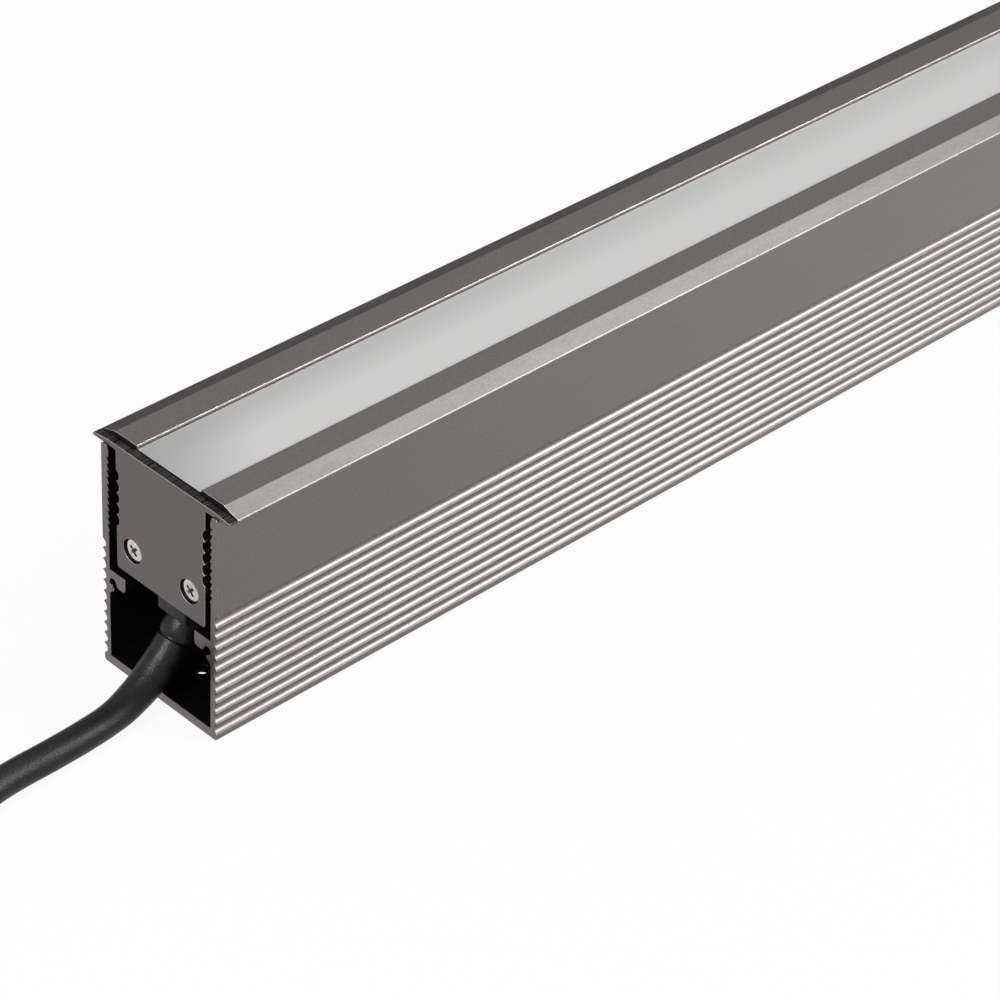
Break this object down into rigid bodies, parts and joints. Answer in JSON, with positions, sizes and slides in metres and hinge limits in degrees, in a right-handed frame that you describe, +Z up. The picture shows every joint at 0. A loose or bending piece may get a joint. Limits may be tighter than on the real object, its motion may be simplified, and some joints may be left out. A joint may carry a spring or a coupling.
{
  "type": "wall washer light",
  "caption": "Linear wall washer with bevelled flanges and a frosted strip, seated in a grooved aluminium installation channel, with a rubber cable at one end.",
  "frame": {"origin": "middle of the underside of the installation channel", "axes": "+X along the light, away from its cable end; +Y across it; +Z up, out of the light's face"},
  "size_m": [0.6872, 0.0975, 0.066],
  "materials": {
    "anodised": "satin anodised",
    "opal": "frosted",
    "black_rubber": "satin",
    "black_moulding": "satin",
    "bright_steel": "nickel plated",
    "spring_steel": "bright rolled",
    "brass": "plain",
    "board_white": "matt",
    "board_green": "lacquered",
    "grey_pad": "matt",
    "copper": "enamelled",
    "dark_part": "matt",
    "green_terminal": "moulded",
    "core_brown": "satin",
    "core_blue": "satin",
    "core_earth": "satin"
  },
  "bodies": {
    "channel": {"channel": "anodised", "cable": "black_rubber", "cable_coil": "black_rubber", "coil_ties": "black_moulding", "core_brown": "core_brown", "core_blue": "core_blue", "core_earth": "core_earth", "core_ferrules": "bright_steel"},
    "luminaire": {"housing": "anodised", "diffuser": "opal", "diffuser_seals": "black_rubber", "reflectors": "board_white", "led_boards": "board_white", "led_chips": "opal", "thermal_pads": "grey_pad", "board_screws": "bright_steel", "board_connector": "board_white", "lead_grommet": "black_rubber", "led_leads": "core_brown", "driver_insulator": "board_white", "driver_board": "board_green", "driver_transformer": "dark_part", "driver_capacitors": "dark_part", "driver_inductor": "copper", "driver_chips": "dark_part", "driver_terminals": "green_terminal", "supply_leads": "core_brown", "earth_lug": "bright_steel", "earth_screw": "brass", "end_cap_cable_end": "anodised", "end_cap_far_end": "anodised", "end_gasket_cable_end": "black_rubber", "end_gasket_far_end": "black_rubber", "end_screws_cable_end": "bright_steel", "end_screws_far_end": "bright_steel", "retaining_springs": "spring_steel", "cable_gland": "black_moulding", "strain_relief": "black_moulding", "cable_sleeve": "black_rubber", "gland_seal": "black_rubber", "gland_nipple": "brass", "gland_nut": "brass"}
  },
  "joints": [
    {"name": "luminaire_lift", "type": "slide", "parent": "channel", "child": "luminaire", "axis": [0, 0, 1], "range_m": [0, 0.05]}
  ]
}
